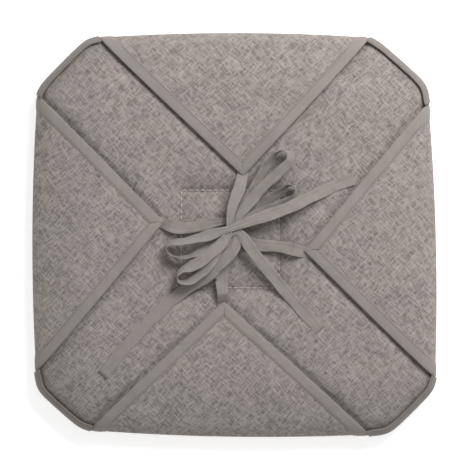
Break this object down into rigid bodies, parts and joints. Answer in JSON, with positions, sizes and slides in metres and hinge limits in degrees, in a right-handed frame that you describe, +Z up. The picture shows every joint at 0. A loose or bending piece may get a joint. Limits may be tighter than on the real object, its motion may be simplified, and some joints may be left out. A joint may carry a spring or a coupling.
{
  "type": "chair seat pad",
  "caption": "Square quilted chair seat pad with cut-off corners, whose bound triangular flaps fold over the underside and tie together in a bow.",
  "frame": {"origin": "bottom centre: the middle of the seat face, on the surface the pad lies on", "axes": "+Z up from the seat face to the tied underside, +Y towards the flap at the head of the bow, +X towards the flap on its right"},
  "size_m": [0.3597, 0.3591, 0.052],
  "materials": {
    "cloth": "matte",
    "tape": "matte",
    "wadding": "matte",
    "thread": "matte"
  },
  "bodies": {
    "pad": {"filling": "wadding", "underside_panel": "cloth", "seat_panel": "cloth", "quilting_thread_underside": "thread", "quilting_thread_seat": "thread", "corner_binding_top_left": "tape", "corner_binding_bottom_left": "tape", "corner_binding_bottom_right": "tape", "corner_binding_top_right": "tape"},
    "top_flap_body": {"top_flap": "cloth", "top_flap_binding_1": "tape", "top_flap_binding_2": "tape", "top_tie": "tape"},
    "left_flap_body": {"left_flap": "cloth", "left_flap_binding_1": "tape", "left_flap_binding_2": "tape", "left_tie": "tape"},
    "bottom_flap_body": {"bottom_flap": "cloth", "bottom_flap_binding_1": "tape", "bottom_flap_binding_2": "tape", "bottom_tie": "tape"},
    "right_flap_body": {"right_flap": "cloth", "right_flap_binding_1": "tape", "right_flap_binding_2": "tape", "right_tie": "tape"}
  },
  "joints": [
    {"name": "top_flap_fold", "type": "hinge", "parent": "pad", "child": "top_flap_body", "pos_m": [0, 0.1804, 0.0163], "axis": [-1, 0, 0], "range_deg": [0, 170], "deforming": ["top_tie"]},
    {"name": "left_flap_fold", "type": "hinge", "parent": "pad", "child": "left_flap_body", "pos_m": [-0.1804, 0, 0.0163], "axis": [0, -1, 0], "range_deg": [0, 170], "deforming": ["left_tie"]},
    {"name": "bottom_flap_fold", "type": "hinge", "parent": "pad", "child": "bottom_flap_body", "pos_m": [0, -0.1804, 0.0163], "axis": [1, 0, 0], "range_deg": [0, 170], "deforming": ["bottom_tie"]},
    {"name": "right_flap_fold", "type": "hinge", "parent": "pad", "child": "right_flap_body", "pos_m": [0.1804, 0, 0.0163], "axis": [0, 1, 0], "range_deg": [0, 170], "deforming": ["right_tie"]}
  ]
}
